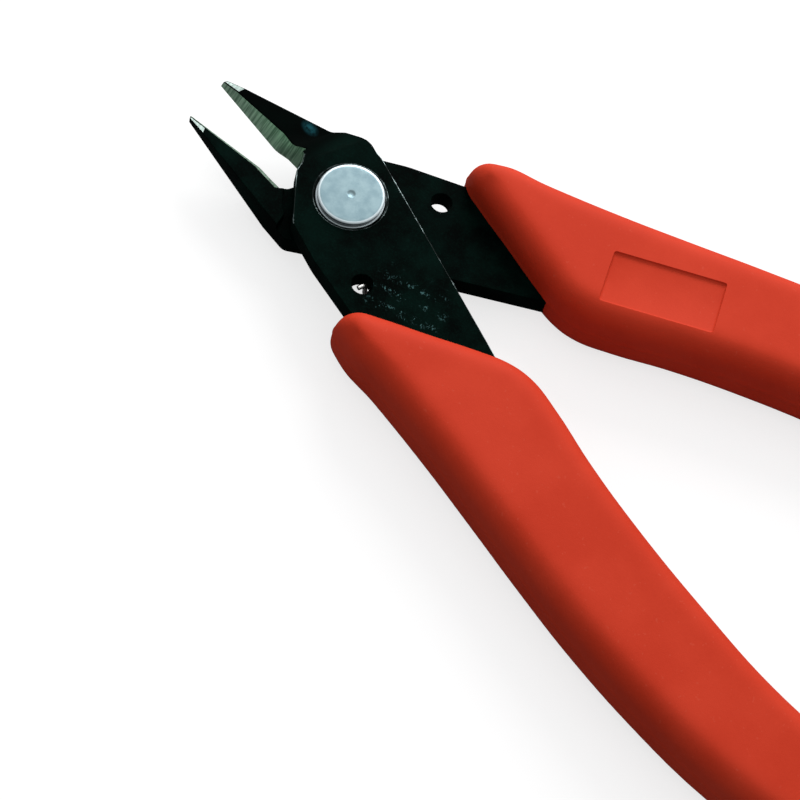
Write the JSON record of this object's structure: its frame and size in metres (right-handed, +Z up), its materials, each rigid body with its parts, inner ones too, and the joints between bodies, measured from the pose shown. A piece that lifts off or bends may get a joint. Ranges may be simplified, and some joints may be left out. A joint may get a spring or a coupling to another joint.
{
  "type": "flush cutter",
  "caption": "Small sprung shear for electronics: stamped blades lapped on a rivet, bevelled tapering jaws with a flush underside, and soft grips.",
  "frame": {"origin": "centre of the open tool's footprint, on the bench surface under the grips", "axes": "+X from the handles towards the cutting tips, +Y towards the upper blade's handle, +Z up through the pivot"},
  "size_m": [0.1256, 0.067, 0.0106],
  "materials": {
    "black_oxide": "black oxide on stamped steel, with ground bevels",
    "zinc_steel": "bright zinc plate with turning marks",
    "spring_wire": "drawn spring wire",
    "red_grip": "soft matte red rubber"
  },
  "bodies": {
    "upper_half": {"upper_blade": "black_oxide", "front_grip": "red_grip", "pivot_rivet": "zinc_steel", "return_spring": "spring_wire"},
    "lower_half": {"lower_blade": "black_oxide", "rear_grip": "red_grip"}
  },
  "joints": [
    {"name": "cutter_hinge", "type": "hinge", "parent": "upper_half", "child": "lower_half", "pos_m": [0.0402, 0, 0.0053], "axis": [0, 0, -1], "range_deg": [0, 15], "stiffness_Nm_per_rad": 1.1, "springref_deg": -2.86, "deforming": ["return_spring"]}
  ]
}
